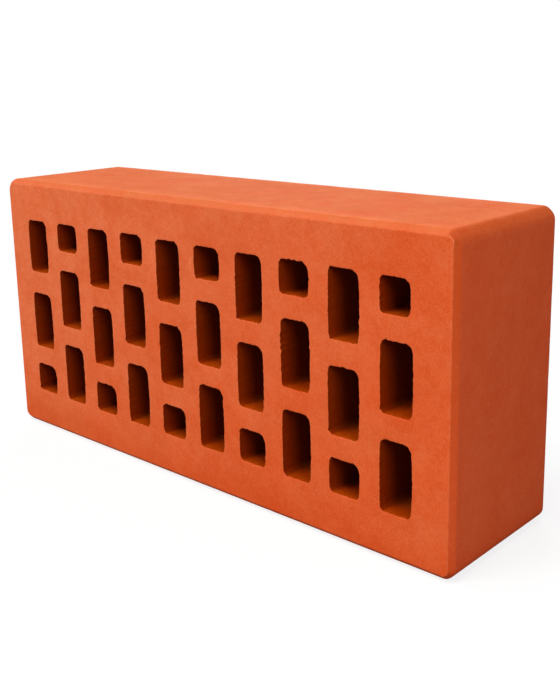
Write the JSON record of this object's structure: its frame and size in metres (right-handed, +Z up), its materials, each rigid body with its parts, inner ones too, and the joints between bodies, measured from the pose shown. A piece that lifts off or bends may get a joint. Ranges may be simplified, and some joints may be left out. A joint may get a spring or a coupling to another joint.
{
  "type": "perforated clay brick",
  "caption": "Rectangular fired clay facing brick with staggered slots through its bed faces, round die edges and chamfered bed edges.",
  "frame": {"origin": "middle of the stretcher face that the brick stands on", "axes": "+X along the brick's length, +Y along its thickness and its slots, +Z up its width"},
  "size_m": [0.25, 0.065, 0.12],
  "materials": {
    "fired_clay": "matt, fine sandy fired clay"
  },
  "bodies": {
    "root": {"brick": "fired_clay"}
  },
  "joints": []
}
